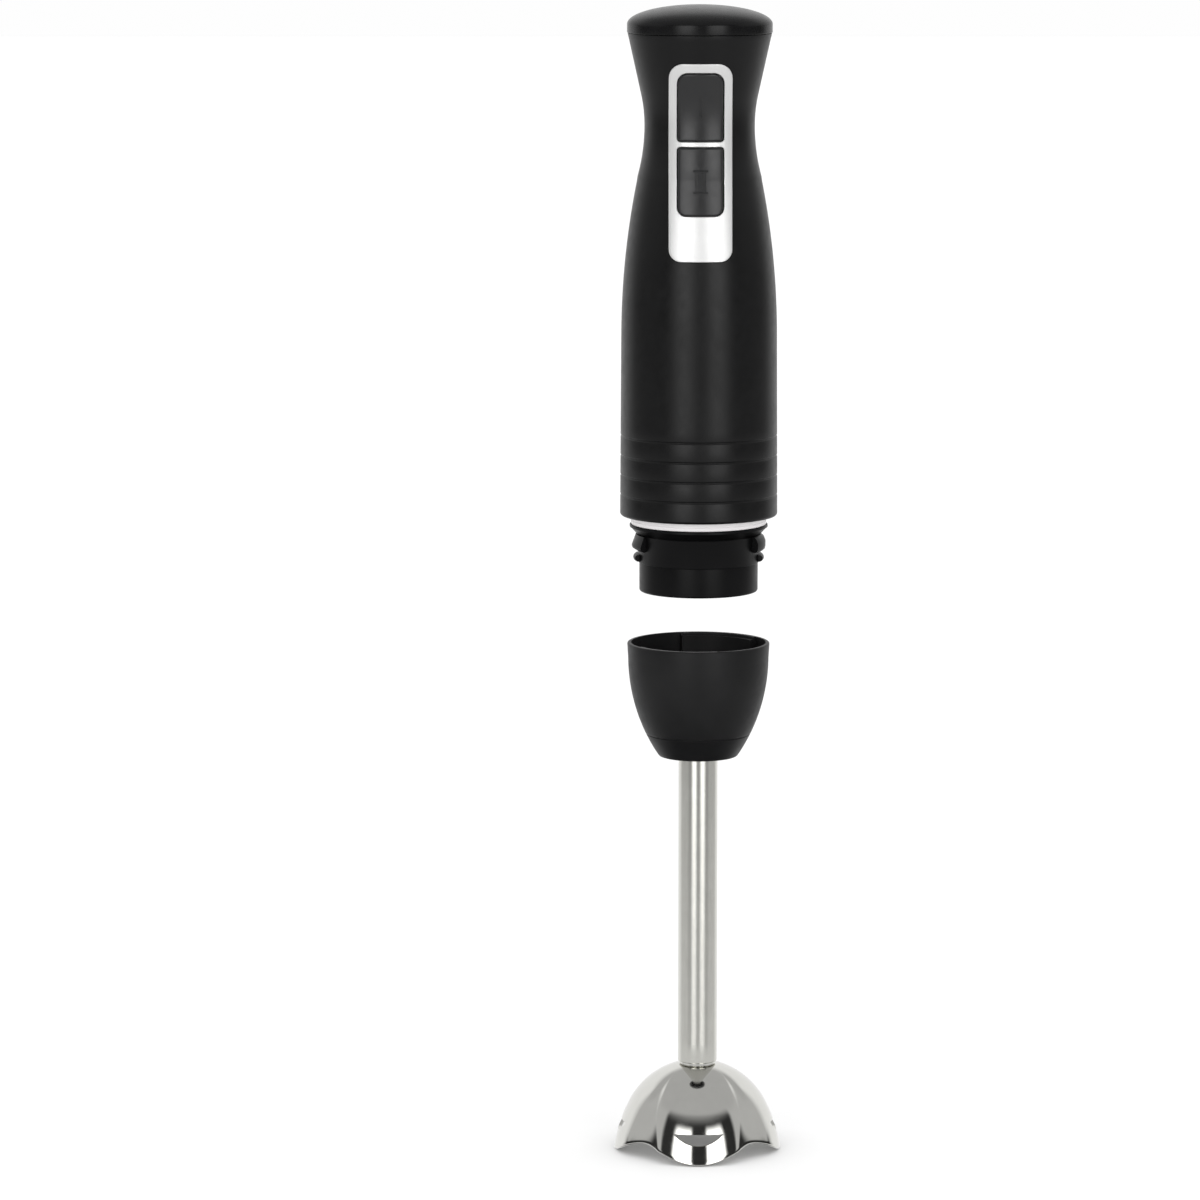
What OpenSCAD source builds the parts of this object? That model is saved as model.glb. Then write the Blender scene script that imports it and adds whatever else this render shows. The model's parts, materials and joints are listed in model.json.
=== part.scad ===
// Immersion blender with a detachable blending shaft, drawn off the handle below its coupling.
// Millimetres. +Z is up along the drive axis, the buttons face -Y, and the origin is on the
// drive axis at the level of the bell's feet.

/* [Handle] */
// Radius at the top of the straight barrel
barrel_r = 30.35; // [30.25:0.05:30.45]
// Radius at the foot of the barrel, which has a slight draft
barrel_low_r = 30.74; // [30.6:0.02:30.8]
// Radius of the waist
waist_r = 21.4; // [21.3:0.1:21.6]
// Height of the waist
waist_z = 405.8; // [405.5:0.1:406]
// Radius at the seam under the top cap
seam_r = 27.95; // [27.9:0.05:28.1]
// Wall of the two handle shells
shell_wall = 2.2; // [2.1:0.1:2.3]
// Rise of the top cap's dome
dome_h = 7.5; // [7:0.5:8]
// Number of grip grooves
groove_count = 4; // [3:1:5]
// Distance from one grip groove to the next
groove_pitch = 7.7; // [7.6:0.1:7.8]

/* [Controls] */
// Width of the silver bezel
bezel_w = 24.5; // [24:0.1:25]
// Width of both button openings
opening_w = 18.2; // [18:0.1:18.4]
// Gap between a button and its opening
button_gap = 0.35; // [0.3:0.05:0.4]
// How far a button stands out of the handle's surface
button_rise = 0.6; // [0.4:0.1:0.8]
// How far a button travels
button_travel = 1.5; // [1:0.1:1.6]

/* [Coupling] */
// Radius of the nose that enters the cup
nose_r = 23.6; // [23.4:0.1:23.7]
// How far the shaft moves up to seat on the handle
seat_travel = 43.9; // [43.8:0.05:44]
// Turn that locks the shaft on the handle
lock_turn = 45; // [40:1:50]
// Width of a bayonet lug, in degrees round the nose
lug_arc = 58; // [52:1:60]
// Number of drive splines, a whole number in each lock turn
spline_count = 8; // [8]

/* [Blending shaft] */
// Radius of the cup's rim
cup_r = 27.9; // [27.8:0.05:28]
// Radius of the steel tube
tube_r = 7.7; // [7.6:0.05:7.8]
// Wall of the steel tube
tube_wall = 0.7; // [0.6:0.05:0.75]
// Radius of the drive shaft inside it
drive_r = 2.5; // [2.4:0.05:2.6]
// Wall of the bell
bell_wall = 1.2; // [1:0.1:1.4]
// Height of the arches between the bell's feet
arch_h = 6; // [5:0.5:6.5]
// Width of the drain slot in each lobe
slot_w = 19.7; // [18:0.1:20]
// Radius that the blade sweeps
blade_r = 21; // [19:0.5:22]

/* [Motor] */
// Outer radius of the motor can
can_r = 21.5; // [21:0.1:21.5]
// Radius of the armature
armature_r = 16.4; // [16:0.1:16.5]
// Number of armature slots
armature_slots = 12; // [8:1:14]
// Number of fan blades
fan_blades = 9; // [7:1:11]

/* [Hidden] */
$fn = 64;

// Heights, from the bell's feet up
bell_dome_c = [0, 4.9];         // centre of the bell's upper arc
bell_dome_r = 30.4;             // its radius
bell_skirt_r = 60;              // radius of the flatter arc of the skirt
bell_joint_a = 27;              // where the two arcs meet, above the horizontal
bell_skirt_c = bell_dome_c
    - (bell_skirt_r - bell_dome_r) * [cos(bell_joint_a), sin(bell_joint_a)];
neck_r = tube_r - tube_wall - 0.1;
neck_wall = 1.3;
neck_top = 43;
tube_low = 35.4;
tube_high = 171.35;
cup_arc_c = [-42.44, 197.5];    // centre of the cup's side arc
cup_arc_r = 70;
cup_split = 167;                // joint between the cup and its base
cup_low = 158.1;
cup_floor = 177.3;
cup_floor_low = 171.5;
cup_rim = 203.2;
cup_bore_r = nose_r + 0.3;
boss_top = 182.8;
nose_low = 223.6;
nose_top = 258.6;
flange_low = 246.3;
flange_r = 27;
shell_low = 253.5;
shell_floor = 2.5;
shell_edge = 1.2;               // rounding of the barrel's lower edge
barrel_top = 323.3;
seam_z = 441.4;
taper_r = 310;                  // arc from the barrel into the waist
waist_low_r = 75;
waist_high_r = 55;
taper_a = 11.31;
flare_a = 12.4;
bezel_low = 354.9;
bezel_high = 430.6;
groove_top = 285;
groove_w = 1.5;
groove_depth = 0.45;
fit = 0.05;                     // radial clearance of a running fit

// Each button opening: lowest, highest, top corner radius, bottom corner radius
upper_opening = [400.5, 427.1, 4.1, 1.4];
lower_opening = [372.2, 398.6, 1.4, 3.5];

// Bayonet: [lowest, highest] of the upper lug and of the lower one, on the nose
upper_lug = [240, 246.3];
lower_lug = [235.5, 238.5];
upper_lug_r = 26.2;
lower_lug_r = 25.6;
nub_arc = 26;                   // width of each lower lug, in degrees
lug_clear = 0.25;
lug_slack = 1.2;                // degrees of slack at each end of a lug

// Drive spline: radii of the core and of the teeth, and a tooth's width
spline_core_r = 4.3;
spline_tip_r = 5.3;
spline_w = 1.7;
spline_clear = 0.1;
coupling_low = 230;
coupling_high = 245.6;
socket_top = 241.5;
spline_low = 183.4;
spline_high = 197;

// Motor stack
can_low = 271;
can_high = 330;
can_wall = 1.2;
core_low = 281;
core_high = 311;
commutator_low = 318.5;
commutator_high = 326;
commutator_r = 6;
brush_low = 319.5;
brush_size = 5;
plate_t = 2.5;
plate_screw_x = 17.2;
shaft_low = 241.6;
shaft_high = 339;

// Board, switches and buttons, measured from the axis towards -Y
board_front = -3.5;
board_t = 1.6;
board_back = board_front + board_t;
board_low = 348;
board_high = 426;
board_w = 28;
switch_size = [5.8, 6.5, 12.8];
switch_front = board_front - switch_size[1];
plunger_r = 1;
plunger_tip = switch_front - button_travel - 0.2;
stem_r = 2.5;
stem_tip = plunger_tip - 0.05;
bridge_back = -12.5;
bridge_t = 1;
button_depth = 2.7;             // how far a button reaches inside the handle's surface
lip_w = 0.7;                    // lips above and below that keep a button behind the shell
lip_t = 1;
lip_x = 7;

case_screw_at = [[-16, 341], [16, 341], [-15, 430], [15, 430]];
board_screw_at = [[-11.5, 353], [11.5, 353], [-11.5, 421], [11.5, 421]];
anchor_screw_ring = 11;
cord_z = 428;
cord_r = 3.3;
gland_in = 18.4;
gland_out = 27.4;

// The motor's leads, from the brush terminals to the foot of the board
front_lead = [[0, -15, 333], [0, -15, 335], [-1, -14.5, 338], [-4, -11, 341], [-7, -6, 344],
    [-8, -3.2, 345.6], [-8, -2.7, 346.8], [-8, -2.7, 347.9]];
rear_lead = [[0, 15, 333], [0, 15, 335], [1, 14, 338], [4, 9, 341], [7, 2, 344],
    [8, -1.8, 345.6], [8, -2.7, 346.8], [8, -2.7, 347.9]];
lead_r = 0.9;

black = "#1b1b1c";
charcoal = "#2a2a2c";
silver = "#c9c9c6";
steel = "#b9b7ae";
copper = "#b5683a";
brass = "#c2a14d";
board_green = "#20553a";

// ---- outlines ----

function arc(c, r, a, b, n = 6) =
    [for (i = [0:n]) let (t = a + (b - a) * i / n) c + r * [cos(t), sin(t)]];

function reversed(p) = [for (i = [len(p) - 1:-1:0]) p[i]];

// Side of the handle from the barrel to the seam, moved in by d
function handle_side(d) = concat(
    arc([barrel_r - taper_r - d, barrel_top], taper_r, 0, taper_a, 8),
    arc([waist_r + waist_low_r - d, waist_z], waist_low_r, 180 + taper_a, 180, 5),
    arc([waist_r + waist_high_r - d, waist_z], waist_high_r, 179, 180 - flare_a, 4),
    [[seam_r - d, seam_z]]);

// Radius of the barrel's drafted part at a height
function barrel_at(z) =
    barrel_r + (barrel_low_r - barrel_r) * (barrel_top - z) / (barrel_top - shell_low);

// Side of the cup between two heights, from the lower to the upper
function cup_side(low, high, n) = let (
    a = asin((low - cup_arc_c[1]) / cup_arc_r), b = asin((high - cup_arc_c[1]) / cup_arc_r))
    arc(cup_arc_c, cup_arc_r, a, b, n);

// Bell from its feet to radius r at the top, moved in by d
function bell_side(d, r) = let (
    low_a = asin(-bell_skirt_c[1] / (bell_skirt_r - d)),
    high_a = acos(r / (bell_dome_r - d)))
    concat(
        arc(bell_skirt_c, bell_skirt_r - d, low_a, bell_joint_a, 7),
        arc(bell_dome_c, bell_dome_r - d, bell_joint_a + 3, high_a, 9));

// A panel seen from the front, with its own corner radii at the top and the bottom
function panel(w, low, high, top_r, low_r) = concat(
    arc([w / 2 - low_r, low + low_r], low_r, -90, 0),
    arc([w / 2 - top_r, high - top_r], top_r, 0, 90),
    arc([top_r - w / 2, high - top_r], top_r, 90, 180),
    arc([low_r - w / 2, low + low_r], low_r, 180, 270));

// A button opening's outline, made larger by grow on every side
function opening(o, grow) = panel(
    opening_w + 2 * grow, o[0] - grow, o[1] + grow, o[2] + grow, o[3] + grow);

function middle(o) = (o[0] + o[1]) / 2;

// ---- shared solids ----

module turned(points) {
    rotate_extrude() polygon(points);
}

module ring(outer, inner, low, high) {
    turned([[inner, low], [outer, low], [outer, high], [inner, high]]);
}

// A sector of a ring, centred on the angle at
module ring_sector(outer, inner, low, high, at, width) {
    rotate(at - width / 2) rotate_extrude(angle = width)
        polygon([[inner, low], [outer, low], [outer, high], [inner, high]]);
}

// A round rod along Y
module rod_y(r, x, z, from, to) {
    translate([x, from, z]) rotate([-90, 0, 0]) cylinder(h = to - from, r = r);
}

// A shape turned about an axis along Y, from [radius, y] points
module turned_y(points, x, z) {
    translate([x, 0, z]) rotate([-90, 0, 0]) rotate_extrude() polygon(points);
}

// An outline in X and Z, carried along Y
module along_y(from, to) {
    translate([0, to, 0]) rotate([90, 0, 0]) linear_extrude(to - from) children();
}

module cylinder_between(r, low, high) {
    translate([0, 0, low]) cylinder(h = high - low, r = r);
}

module block(low, high) {
    translate(low) cube(high - low);
}

// Everything inside the handle's side moved in by d, from the floor to the seam
module handle_inside(d) {
    turned(concat([[0, shell_low], [barrel_low_r - d, shell_low]], handle_side(d),
        [[0, seam_z]]));
}

// A screw along Y, its head towards +Y, with the head's underside at y = seat
module screw_y(x, z, seat, head_r, head_h, shank_r, length) {
    difference() {
        union() {
            rod_y(head_r, x, z, seat, seat + head_h);
            rod_y(shank_r, x, z, seat - length, seat + 0.1);
        }
        for (a = [0, 90]) translate([x, seat + head_h, z]) rotate([0, a, 0])
            cube([head_r * 1.1, head_h, 0.6], center = true);
    }
}

// A round tube swept along a list of points
module swept(points, r, sides = 8) {
    last = len(points) - 1;
    function unit(v) = v / norm(v);
    function along(i) = unit(points[min(i + 1, last)] - points[max(i - 1, 0)]);
    function ring_at(i) = let (
        t = along(i), u = unit(cross(t, [1, 0.2, 0.1])), v = cross(t, u))
        [for (k = [0:sides - 1]) let (a = 360 * k / sides)
            points[i] + r * (cos(a) * u + sin(a) * v)];
    corners = [for (i = [0:last]) each ring_at(i)];
    walls = [for (i = [0:last - 1], k = [0:sides - 1])
        let (n = (k + 1) % sides, here = i * sides, next = here + sides)
            each [[here + k, here + n, next + n], [here + k, next + n, next + k]]];
    polyhedron(corners, concat(walls, [[for (k = [sides - 1:-1:0]) k]],
        [[for (k = [0:sides - 1]) last * sides + k]]), convexity = 4);
}

// A compression spring along Y from one y to another
module coil_y(x, z, from, to, r, wire, turns) {
    steps = turns * 12;
    reach = to - from - 2 * wire;
    swept([for (i = [0:steps]) let (a = 360 * i / 12)
        [x + r * cos(a), from + wire + reach * i / steps, z + r * sin(a)]], wire, 6);
}

// ---- handle ----

module top_cap() {
    base = 441.5;
    band = 444.8;
    band_r = seam_r + 0.22;
    wall = 2;
    spigot_low = 437;
    spigot_r = 24.3;
    color(charcoal) turned(concat(
        [[spigot_r - 1.6, spigot_low], [spigot_r, spigot_low], [spigot_r, base],
            [band_r - 0.3, base], [band_r, base + 0.6]],
        [for (i = [0:9]) [band_r * cos(i * 10), band + dome_h * sin(i * 10)]],
        [for (i = [9:-1:1]) [(band_r - wall) * cos(i * 10), band + (dome_h - wall) * sin(i * 10)]],
        [[band_r - wall, base + wall], [spigot_r - 1.6, base + wall]]));
}

// Half of the handle's wall, its open side on y = 0, starting at the angle from
module half_wall(from) {
    rotate(from) rotate_extrude(angle = 180) polygon(concat(
        [[nose_r - 0.2, shell_low]],
        arc([barrel_low_r - shell_edge, shell_low + shell_edge], shell_edge, -90, 0),
        handle_side(0),
        reversed(handle_side(shell_wall)),
        [[barrel_low_r - shell_wall, shell_low + shell_floor],
            [nose_r - 0.2, shell_low + shell_floor]]));
}

// Half rings inside the wall: one holds the nose down, two pairs hold the motor's rings
module half_ribs(from) {
    for (z = [[258.8, 260.6], [270.4, 271.4], [275.6, 276.6], [327, 327.9], [333.1, 334.1]])
        rotate(from) rotate_extrude(angle = 180)
            polygon([[24.5, z[0]], [29.4, z[0]], [29.4, z[1]], [24.5, z[1]]]);
}

module grip_grooves() {
    for (i = [0:groove_count - 1]) {
        z = groove_top - i * groove_pitch;
        r = barrel_at(z);
        turned([[r - groove_depth, z - 0.3], [r + 1, z - groove_w / 2 - 0.6],
            [r + 1, z + groove_w / 2 + 0.6], [r - groove_depth, z + 0.3]]);
    }
}

module front_shell() {
    color(black) difference() {
        union() {
            half_wall(180);
            intersection() {
                handle_inside(shell_wall - 0.6);
                union() {
                    half_ribs(180);
                    // bridge behind the buttons, which guides their stems
                    block([-22, bridge_back - bridge_t, lower_opening[0] - 2],
                        [22, bridge_back, upper_opening[1] + 2]);
                    for (p = case_screw_at) rod_y(3.2, p[0], p[1], -32, 0);
                    for (p = board_screw_at) rod_y(2.2, p[0], p[1], -32, board_front);
                }
            }
        }
        // recess for the bezel
        difference() {
            along_y(-34, -8) polygon(panel(bezel_w + 0.2, bezel_low - 0.1, bezel_high + 0.1,
                5.6, 4.8));
            handle_inside(1);
        }
        for (o = [upper_opening, lower_opening]) {
            along_y(-34, bridge_back - bridge_t - 0.01) polygon(opening(o, 0));
            rod_y(stem_r + 0.2, 0, middle(o), -20, -8);
        }
        for (p = case_screw_at) rod_y(1.35, p[0], p[1], -10, 1);
        for (p = board_screw_at) rod_y(1.05, p[0], p[1], -13, board_front + 1);
        grip_grooves();
    }
}

module rear_shell() {
    color(black) difference() {
        union() {
            half_wall(0);
            intersection() {
                handle_inside(shell_wall - 0.6);
                union() {
                    half_ribs(0);
                    for (p = case_screw_at) rod_y(4.6, p[0], p[1], 0, 32);
                    rod_y(8.2, 0, cord_z, 20.5, 32);
                }
            }
        }
        for (p = case_screw_at) {
            rod_y(1.6, p[0], p[1], -1, 6);
            rod_y(3.2, p[0], p[1], 3, 34);
        }
        // cord hole with a flat seat on the outside
        rod_y(5, 0, cord_z, 15, 34);
        rod_y(6.7, 0, cord_z, 23.8, 34);
        grip_grooves();
        // air outlets in the grooves beside the fan, and air inlets above the motor
        for (i = [0:groove_count - 1], a = [66, 90, 114])
            ring_sector(32, 27, groove_top - i * groove_pitch - 0.6,
                groove_top - i * groove_pitch + 0.6, a, 18);
        for (z = [352:4.5:368]) along_y(20, 34)
            polygon(panel(22, z, z + 1.8, 0.85, 0.85));
    }
}

module case_screws() {
    color(steel) for (p = case_screw_at) screw_y(p[0], p[1], 3, 2.8, 2, 1.3, 12.5);
}

module button_bezel() {
    color(silver) difference() {
        intersection() {
            along_y(-34, -8) polygon(panel(bezel_w, bezel_low, bezel_high, 5.5, 4.7));
            handle_inside(-0.35);
        }
        handle_inside(0.95);
        for (o = [upper_opening, lower_opening]) along_y(-35, -5) polygon(opening(o, 0));
    }
}

module collar_ring() {
    low = 250.2;
    high = 253.4;
    out = 26.45;
    mid = (low + high) / 2;
    color("#e6e3e3") turned([[nose_r - 0.2, low], [out - 0.3, low], [out, low + 0.3],
        [out, mid - 0.2], [out - 0.15, mid], [out, mid + 0.2], [out, high],
        [nose_r - 0.2, high]]);
}

// The bayonet lugs stand at the left and the right of the nose
module nose_lug(at, width, section) {
    rotate(at - width / 2) rotate_extrude(angle = width) polygon(section);
}

module coupling_nose() {
    wall = 2.2;
    root = nose_r - 1;
    color("#161617") union() {
        turned(concat(
            [[13, nose_low]],
            arc([nose_r - 1.3, nose_low + 0.9], 0.9, -90, 0),
            [[nose_r - 0.4, 235], [nose_r, 235.3], [nose_r, flange_low - 0.4],
                [nose_r + 0.6, flange_low], [flange_r - 0.5, 248.8], [flange_r, 249],
                [flange_r, 250.1],
                [nose_r - 0.3, 250.1], [nose_r - 0.3, 256.1], [26, 256.1], [26, nose_top],
                [21, nose_top], [21, 250.1], [nose_r - wall, 247.4], [nose_r - wall, 226],
                [15, 226], [15, 249.3], [3.2, 249.3], [3.2, 246.3], [13, 246.3]]));
        for (at = [0, 180]) {
            nose_lug(at, lug_arc, [[root, upper_lug[0] + 0.2], [25.4, upper_lug[0]],
                [upper_lug_r, upper_lug[0] + 0.9], [upper_lug_r, 243.8],
                [24.6, upper_lug[1]], [root, upper_lug[1]]]);
            nose_lug(at, nub_arc, [[root, lower_lug[0]], [lower_lug_r - 0.6, lower_lug[0]],
                [lower_lug_r, lower_lug[0] + 0.6], [lower_lug_r, lower_lug[1] - 0.6],
                [lower_lug_r - 0.6, lower_lug[1]], [root, lower_lug[1]]]);
        }
    }
}

module cord_gland() {
    color("#101010") turned_y([[cord_r, gland_in], [6.2, gland_in], [6.2, 20.4], [4.95, 20.4],
        [4.95, 23.85], [6.5, 23.85], [6.5, 25.4], [5.6, 26.6], [5, gland_out],
        [cord_r, gland_out]], 0, cord_z);
}

// ---- controls ----

// A button: a curved plate with a lip behind the shell, a stem and a pocket for its spring
module button(o) {
    color(charcoal) difference() {
        union() {
            intersection() {
                along_y(-34, -8) polygon(opening(o, -button_gap));
                handle_inside(-button_rise);
            }
            intersection() {
                block([-lip_x, -34, o[0] - lip_w], [lip_x, -8, o[1] + lip_w]);
                handle_inside(shell_wall + 0.25);
            }
        }
        // hollow behind the plate and its lip
        intersection() {
            handle_inside(button_depth + lip_t);
            along_y(-34, -5) polygon(opening(o, 3));
        }
        rod_y(4.4, 0, middle(o), -button_pocket(o), -8);
    }
    color(charcoal) rod_y(stem_r, 0, middle(o), -button_pocket(o) - 0.5, stem_tip);
}

// Depth of the spring pocket's end, as a distance in front of the axis
function button_pocket(o) = lookup(middle(o), [[385.4, 22.7], [413.8, 20.6]]);

module upper_button() {
    button(upper_opening);
}

module lower_button() {
    button(lower_opening);
}

module button_spring(o) {
    color(steel) coil_y(0, middle(o), -button_pocket(o), bridge_back - bridge_t, 3.4, 0.3, 4);
}

module upper_button_spring() {
    button_spring(upper_opening);
}

module lower_button_spring() {
    button_spring(lower_opening);
}

module plunger(o) {
    color("#c8392f") rod_y(plunger_r, 0, middle(o), plunger_tip, plunger_tip + 5);
}

module upper_plunger() {
    plunger(upper_opening);
}

module lower_plunger() {
    plunger(lower_opening);
}

module micro_switch(o) {
    color("#2d2d30") difference() {
        block([-switch_size[0] / 2, switch_front, middle(o) - switch_size[2] / 2],
            [switch_size[0] / 2, board_front, middle(o) + switch_size[2] / 2]);
        rod_y(plunger_r + fit, 0, middle(o), switch_front - 1, board_front - 0.8);
        for (s = [-1, 1]) translate([0, board_front - 1.5, middle(o) + s * 4.7])
            rotate([0, 90, 0]) cylinder(h = 10, r = 0.8, center = true);
    }
}

module upper_switch() {
    micro_switch(upper_opening);
}

module lower_switch() {
    micro_switch(lower_opening);
}

module control_board() {
    color(board_green) difference() {
        along_y(board_front, board_front + board_t)
            polygon(panel(board_w, board_low, board_high, 1.5, 1.5));
        for (p = board_screw_at) rod_y(1.2, p[0], p[1], board_front - 1, 0);
    }
}

module board_screws() {
    color(steel) for (p = board_screw_at)
        screw_y(p[0], p[1], board_back, 2.1, 1.4, 1, 7.5);
}

module suppression_capacitor() {
    color("#d8c23a") translate([0, board_back, 400]) rotate([-90, 0, 0])
        linear_extrude(8.5) polygon(panel(18, -7.5, 7.5, 1, 1));
}

module bridge_rectifier() {
    color("#202022") difference() {
        block([-7.5, board_back, 376], [7.5, board_back + 5, 386]);
        translate([8.5, board_back + 2.5, 387]) rotate([0, 45, 0])
            cube([4, 6, 4], center = true);
    }
}

module choke_coil() {
    color(copper) translate([0, board_back + 5, 364]) rotate([0, 90, 0]) union() {
        cylinder(h = 20, r = 3, center = true);
        cylinder(h = 13, r = 5, center = true);
    }
}

// ---- motor ----

module motor_can() {
    color("#8d8f91") difference() {
        union() {
            difference() {
                cylinder_between(can_r, can_low, can_high);
                cylinder_between(can_r - can_wall, can_low + can_wall, can_high + 1);
            }
            cylinder_between(7.2, can_low - 2.6, can_low + 1);
            // lugs for the end plate's screws
            for (a = [0, 180]) rotate(a)
                block([14.9, -2.8, can_high - 12], [can_r - 0.9, 2.8, can_high]);
        }
        for (s = [-1, 1]) translate([s * plate_screw_x, 0, can_high - 3])
            cylinder(h = 4, r = 1.25);
        cylinder_between(6, can_low - 2.2, can_high);
        cylinder_between(3.2, can_low - 4, can_high);
        for (a = [0:60:300]) rotate(a) translate([14, 0, can_low - 1])
            cylinder(h = can_wall + 2, r = 2.6);
    }
}

module magnet(at) {
    color("#4a4a4d") ring_sector(can_r - can_wall - 0.05, armature_r + 0.6, core_low - 5,
        core_high + 5, at, 124);
}

module left_magnet() {
    magnet(180);
}

module right_magnet() {
    magnet(0);
}

module motor_end_plate() {
    high = can_high + plate_t;
    color("#3b3b3e") difference() {
        union() {
            cylinder_between(can_r, can_high, high);
            cylinder_between(7.2, can_high, high + 4.5);
        }
        cylinder_between(6, can_high - 1, high + 4);
        cylinder_between(3.2, can_high, high + 6);
        for (s = [-1, 1]) {
            translate([s * plate_screw_x, 0, can_high - 1]) cylinder(h = 5, r = 1.3);
            translate([0, s * 15, can_high - 1]) cylinder(h = 5, r = 1.1);
        }
    }
}

module motor_screws() {
    color(steel) for (s = [-1, 1]) translate([s * plate_screw_x, 0, 0]) union() {
        cylinder_between(2.4, can_high + plate_t, can_high + plate_t + 1.6);
        cylinder_between(1.2, can_high - 2, can_high + plate_t + 0.1);
    }
}

module lower_bearing() {
    color(brass) ring(5.95, drive_r + fit, can_low - 2.1, can_low + 3.4);
}

module upper_bearing() {
    color(brass) ring(5.95, drive_r + fit, can_high + 0.5, can_high + plate_t + 3.9);
}

// The front pieces of the brush gear are the rear ones mirrored
module facing(s) {
    if (s < 0) mirror([0, 1, 0]) children();
    else children();
}

// A holder under the end plate, with a channel in which the brush slides
module brush_holder(s) {
    side = brush_size / 2;
    color(brass) facing(s) difference() {
        block([-side - 1, 8, brush_low - 1], [side + 1, 19.4, can_high]);
        block([-side - 0.1, 7, brush_low - 0.1], [side + 0.1, 18.6, brush_low + brush_size + 0.1]);
    }
}

module front_brush_holder() {
    brush_holder(-1);
}

module rear_brush_holder() {
    brush_holder(1);
}

module brush(s) {
    side = brush_size / 2;
    color("#3a3a3a") facing(s)
        block([-side, commutator_r + 0.15, brush_low], [side, 13.5, brush_low + brush_size]);
}

module front_brush() {
    brush(-1);
}

module rear_brush() {
    brush(1);
}

module brush_spring(s) {
    color(steel) facing(s)
        coil_y(0, brush_low + brush_size / 2, 13.5, 18.6, 1.8, 0.3, 4);
}

module front_brush_spring() {
    brush_spring(-1);
}

module rear_brush_spring() {
    brush_spring(1);
}

module mount_ring(low, high) {
    color("#232323") ring(26.5, can_r + 0.02, low, high);
}

module lower_mount_ring() {
    mount_ring(271.5, 275.5);
}

module upper_mount_ring() {
    mount_ring(328, 333);
}

module motor_leads() {
    color("#a32020") swept(front_lead, lead_r);
    color("#222222") swept(rear_lead, lead_r);
}

// ---- rotor ----

module motor_shaft() {
    color(steel) cylinder_between(drive_r, shaft_low, shaft_high);
}

module armature_core() {
    color("#77787a") difference() {
        cylinder_between(armature_r, core_low, core_high);
        cylinder_between(drive_r, core_low - 1, core_high + 1);
        armature_openings(2.2, core_low - 1, core_high + 1, 8.4, armature_r - 0.8);
        armature_openings(0.9, core_low - 1, core_high + 1, 12, armature_r + 1);
    }
}

// Boxes standing in each armature slot
module armature_openings(w, low, high, from, to) {
    for (i = [0:armature_slots - 1]) rotate(i * 360 / armature_slots)
        block([from, -w / 2, low], [to, w / 2, high]);
}

module armature_windings() {
    color(copper) union() {
        for (z = [[core_low - 6.5, core_low], [core_high, core_high + 6.5]])
            turned([[4, z[0] + 1], [6, z[0]], [12, z[0]], [14.6, z[0] + 2.5],
                [14.6, z[1] - 2.5], [12, z[1]], [6, z[1]], [4, z[1] - 1]]);
        armature_openings(2, core_low - 2, core_high + 2, 8.6, armature_r - 2.4);
    }
}

module commutator() {
    color(copper) difference() {
        ring(commutator_r, drive_r, commutator_low, commutator_high);
        for (i = [0:armature_slots - 1]) rotate(i * 360 / armature_slots)
            block([commutator_r - 0.8, -0.25, commutator_low - 1],
                [commutator_r + 1, 0.25, commutator_high + 1]);
    }
}

module cooling_fan() {
    low = 261;
    disc = 1.2;
    color("#d5d5d0") difference() {
        union() {
            cylinder_between(19.5, low, low + disc);
            cylinder_between(5, low, low + 6);
            for (i = [0:fan_blades - 1]) rotate(i * 360 / fan_blades)
                block([4.5, -0.6, low + disc - 0.1], [19, 0.6, low + 6]);
        }
        cylinder_between(drive_r, low - 1, low + 8);
    }
}

// The teeth's boxes, shared by the spline and its socket
module spline_teeth(tip, w, low, high) {
    for (i = [0:spline_count - 1]) rotate(i * 360 / spline_count)
        block([0, -w / 2, low], [tip, w / 2, high]);
}

module drive_coupling() {
    color("#8c1f1f") difference() {
        turned([[0, coupling_low], [8.4, coupling_low], [9, coupling_low + 0.8],
            [9, socket_top + 1], [6, coupling_high], [0, coupling_high]]);
        cylinder_between(spline_core_r + spline_clear, coupling_low - 1, socket_top);
        spline_teeth(spline_tip_r + spline_clear, spline_w + 2 * spline_clear,
            coupling_low - 1, socket_top);
        cylinder_between(drive_r, shaft_low, coupling_high + 1);
    }
}

// ---- blending shaft ----

module cup_gasket() {
    color("#6d6d6f") turned([[14, 177.4], [21.4, 177.4], [21.4, 178.9], [20.8, 179.5],
        [14.6, 179.5], [14, 178.9]]);
}

// Space swept by one lug while it enters the cup and turns in it
module lug_path(at) {
    half = lug_arc / 2 + lug_slack;
    middle_a = at - lock_turn / 2;
    sweep = 2 * half + lock_turn;
    down = seat_travel;
    floor_z = lower_lug[0] - down - lug_clear;
    // pocket for the upper lug
    ring_sector(upper_lug_r + lug_clear, 20, upper_lug[0] - down - 0.15, cup_rim + 1,
        middle_a, sweep);
    // track for the lower lug
    ring_sector(lower_lug_r + lug_clear, 20, floor_z, lower_lug[1] - down + 0.15,
        middle_a, sweep + 0.4);
    // way in for the lower lug, a little wider than the track
    ring_sector(lower_lug_r + lug_clear + 0.1, 20, floor_z - 0.1, upper_lug[0] - down + 1,
        at, 2 * half + 1);
}

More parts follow.
